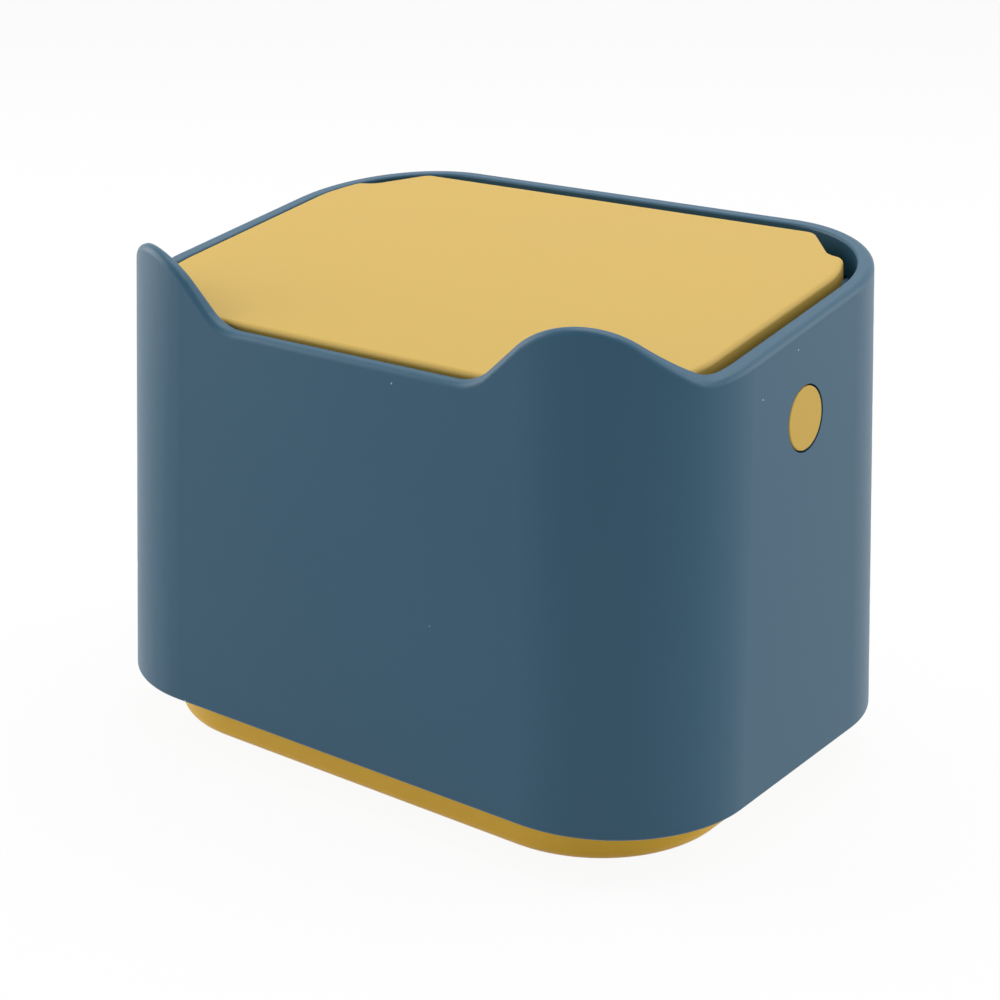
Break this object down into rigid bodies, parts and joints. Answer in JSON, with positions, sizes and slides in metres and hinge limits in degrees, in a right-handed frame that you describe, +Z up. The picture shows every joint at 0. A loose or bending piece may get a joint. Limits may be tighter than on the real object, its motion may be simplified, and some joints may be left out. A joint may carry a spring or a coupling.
{
  "type": "litter disposal bin",
  "caption": "Countertop litter disposal bin with a slanted hinged lid, two ear-shaped rim corners, a side push button and a lift-off shell over an inner bucket.",
  "frame": {"origin": "centre of the bin's footprint on the ground", "axes": "+X towards the push button (the bin's longest side), -Y towards the front with the two ears, +Z up"},
  "size_m": [0.2098, 0.1464, 0.1507],
  "materials": {
    "blue_plastic": "satin moulded plastic",
    "blue_inner_plastic": "satin moulded plastic",
    "yellow_plastic": "satin moulded plastic",
    "dark_rubber": "soft",
    "grey_seal": "soft foam strip",
    "white_plastic": "satin acetal",
    "steel": "zinc plated",
    "spring_steel": "bright wire"
  },
  "bodies": {
    "bucket": {"inner_bucket": "yellow_plastic", "bucket_feet": "dark_rubber"},
    "shell": {"outer_shell": "blue_plastic", "top_frame": "blue_inner_plastic", "frame_screws": "steel", "hinge_pin_left": "steel", "hinge_pin_right": "steel", "hinge_spring_left": "spring_steel", "hinge_spring_right": "spring_steel", "latch_bracket": "white_plastic", "bracket_screws": "steel", "lever_pin": "steel", "latch_spring": "spring_steel"},
    "lid": {"lid_cover": "yellow_plastic", "lid_liner": "blue_inner_plastic", "lid_screws": "steel", "lid_seal": "grey_seal"},
    "button": {"button_cap": "yellow_plastic"},
    "latch_lever": {"latch_lever": "white_plastic"}
  },
  "joints": [
    {"name": "shell_lift", "type": "slide", "parent": "bucket", "child": "shell", "axis": [0, 0, 1], "range_m": [0, 0.15]},
    {"name": "lid_hinge", "type": "hinge", "parent": "shell", "child": "lid", "pos_m": [0, 0.04902, 0.14394], "axis": [-1, 0, 0], "range_deg": [0, 85]},
    {"name": "button_press", "type": "slide", "parent": "shell", "child": "button", "axis": [-1, 0, 0], "range_m": [0, 0.002], "stiffness_N_per_m": 400},
    {"name": "latch_tilt", "type": "hinge", "parent": "shell", "child": "latch_lever", "pos_m": [0.081, 0, 0.0969], "axis": [0, -1, 0], "range_deg": [0, 6.5], "deforming": ["latch_spring"]}
  ],
  "couplings": [
    {"joint": "latch_tilt", "follows": "button_press", "rad_per_m": 55.556}
  ]
}
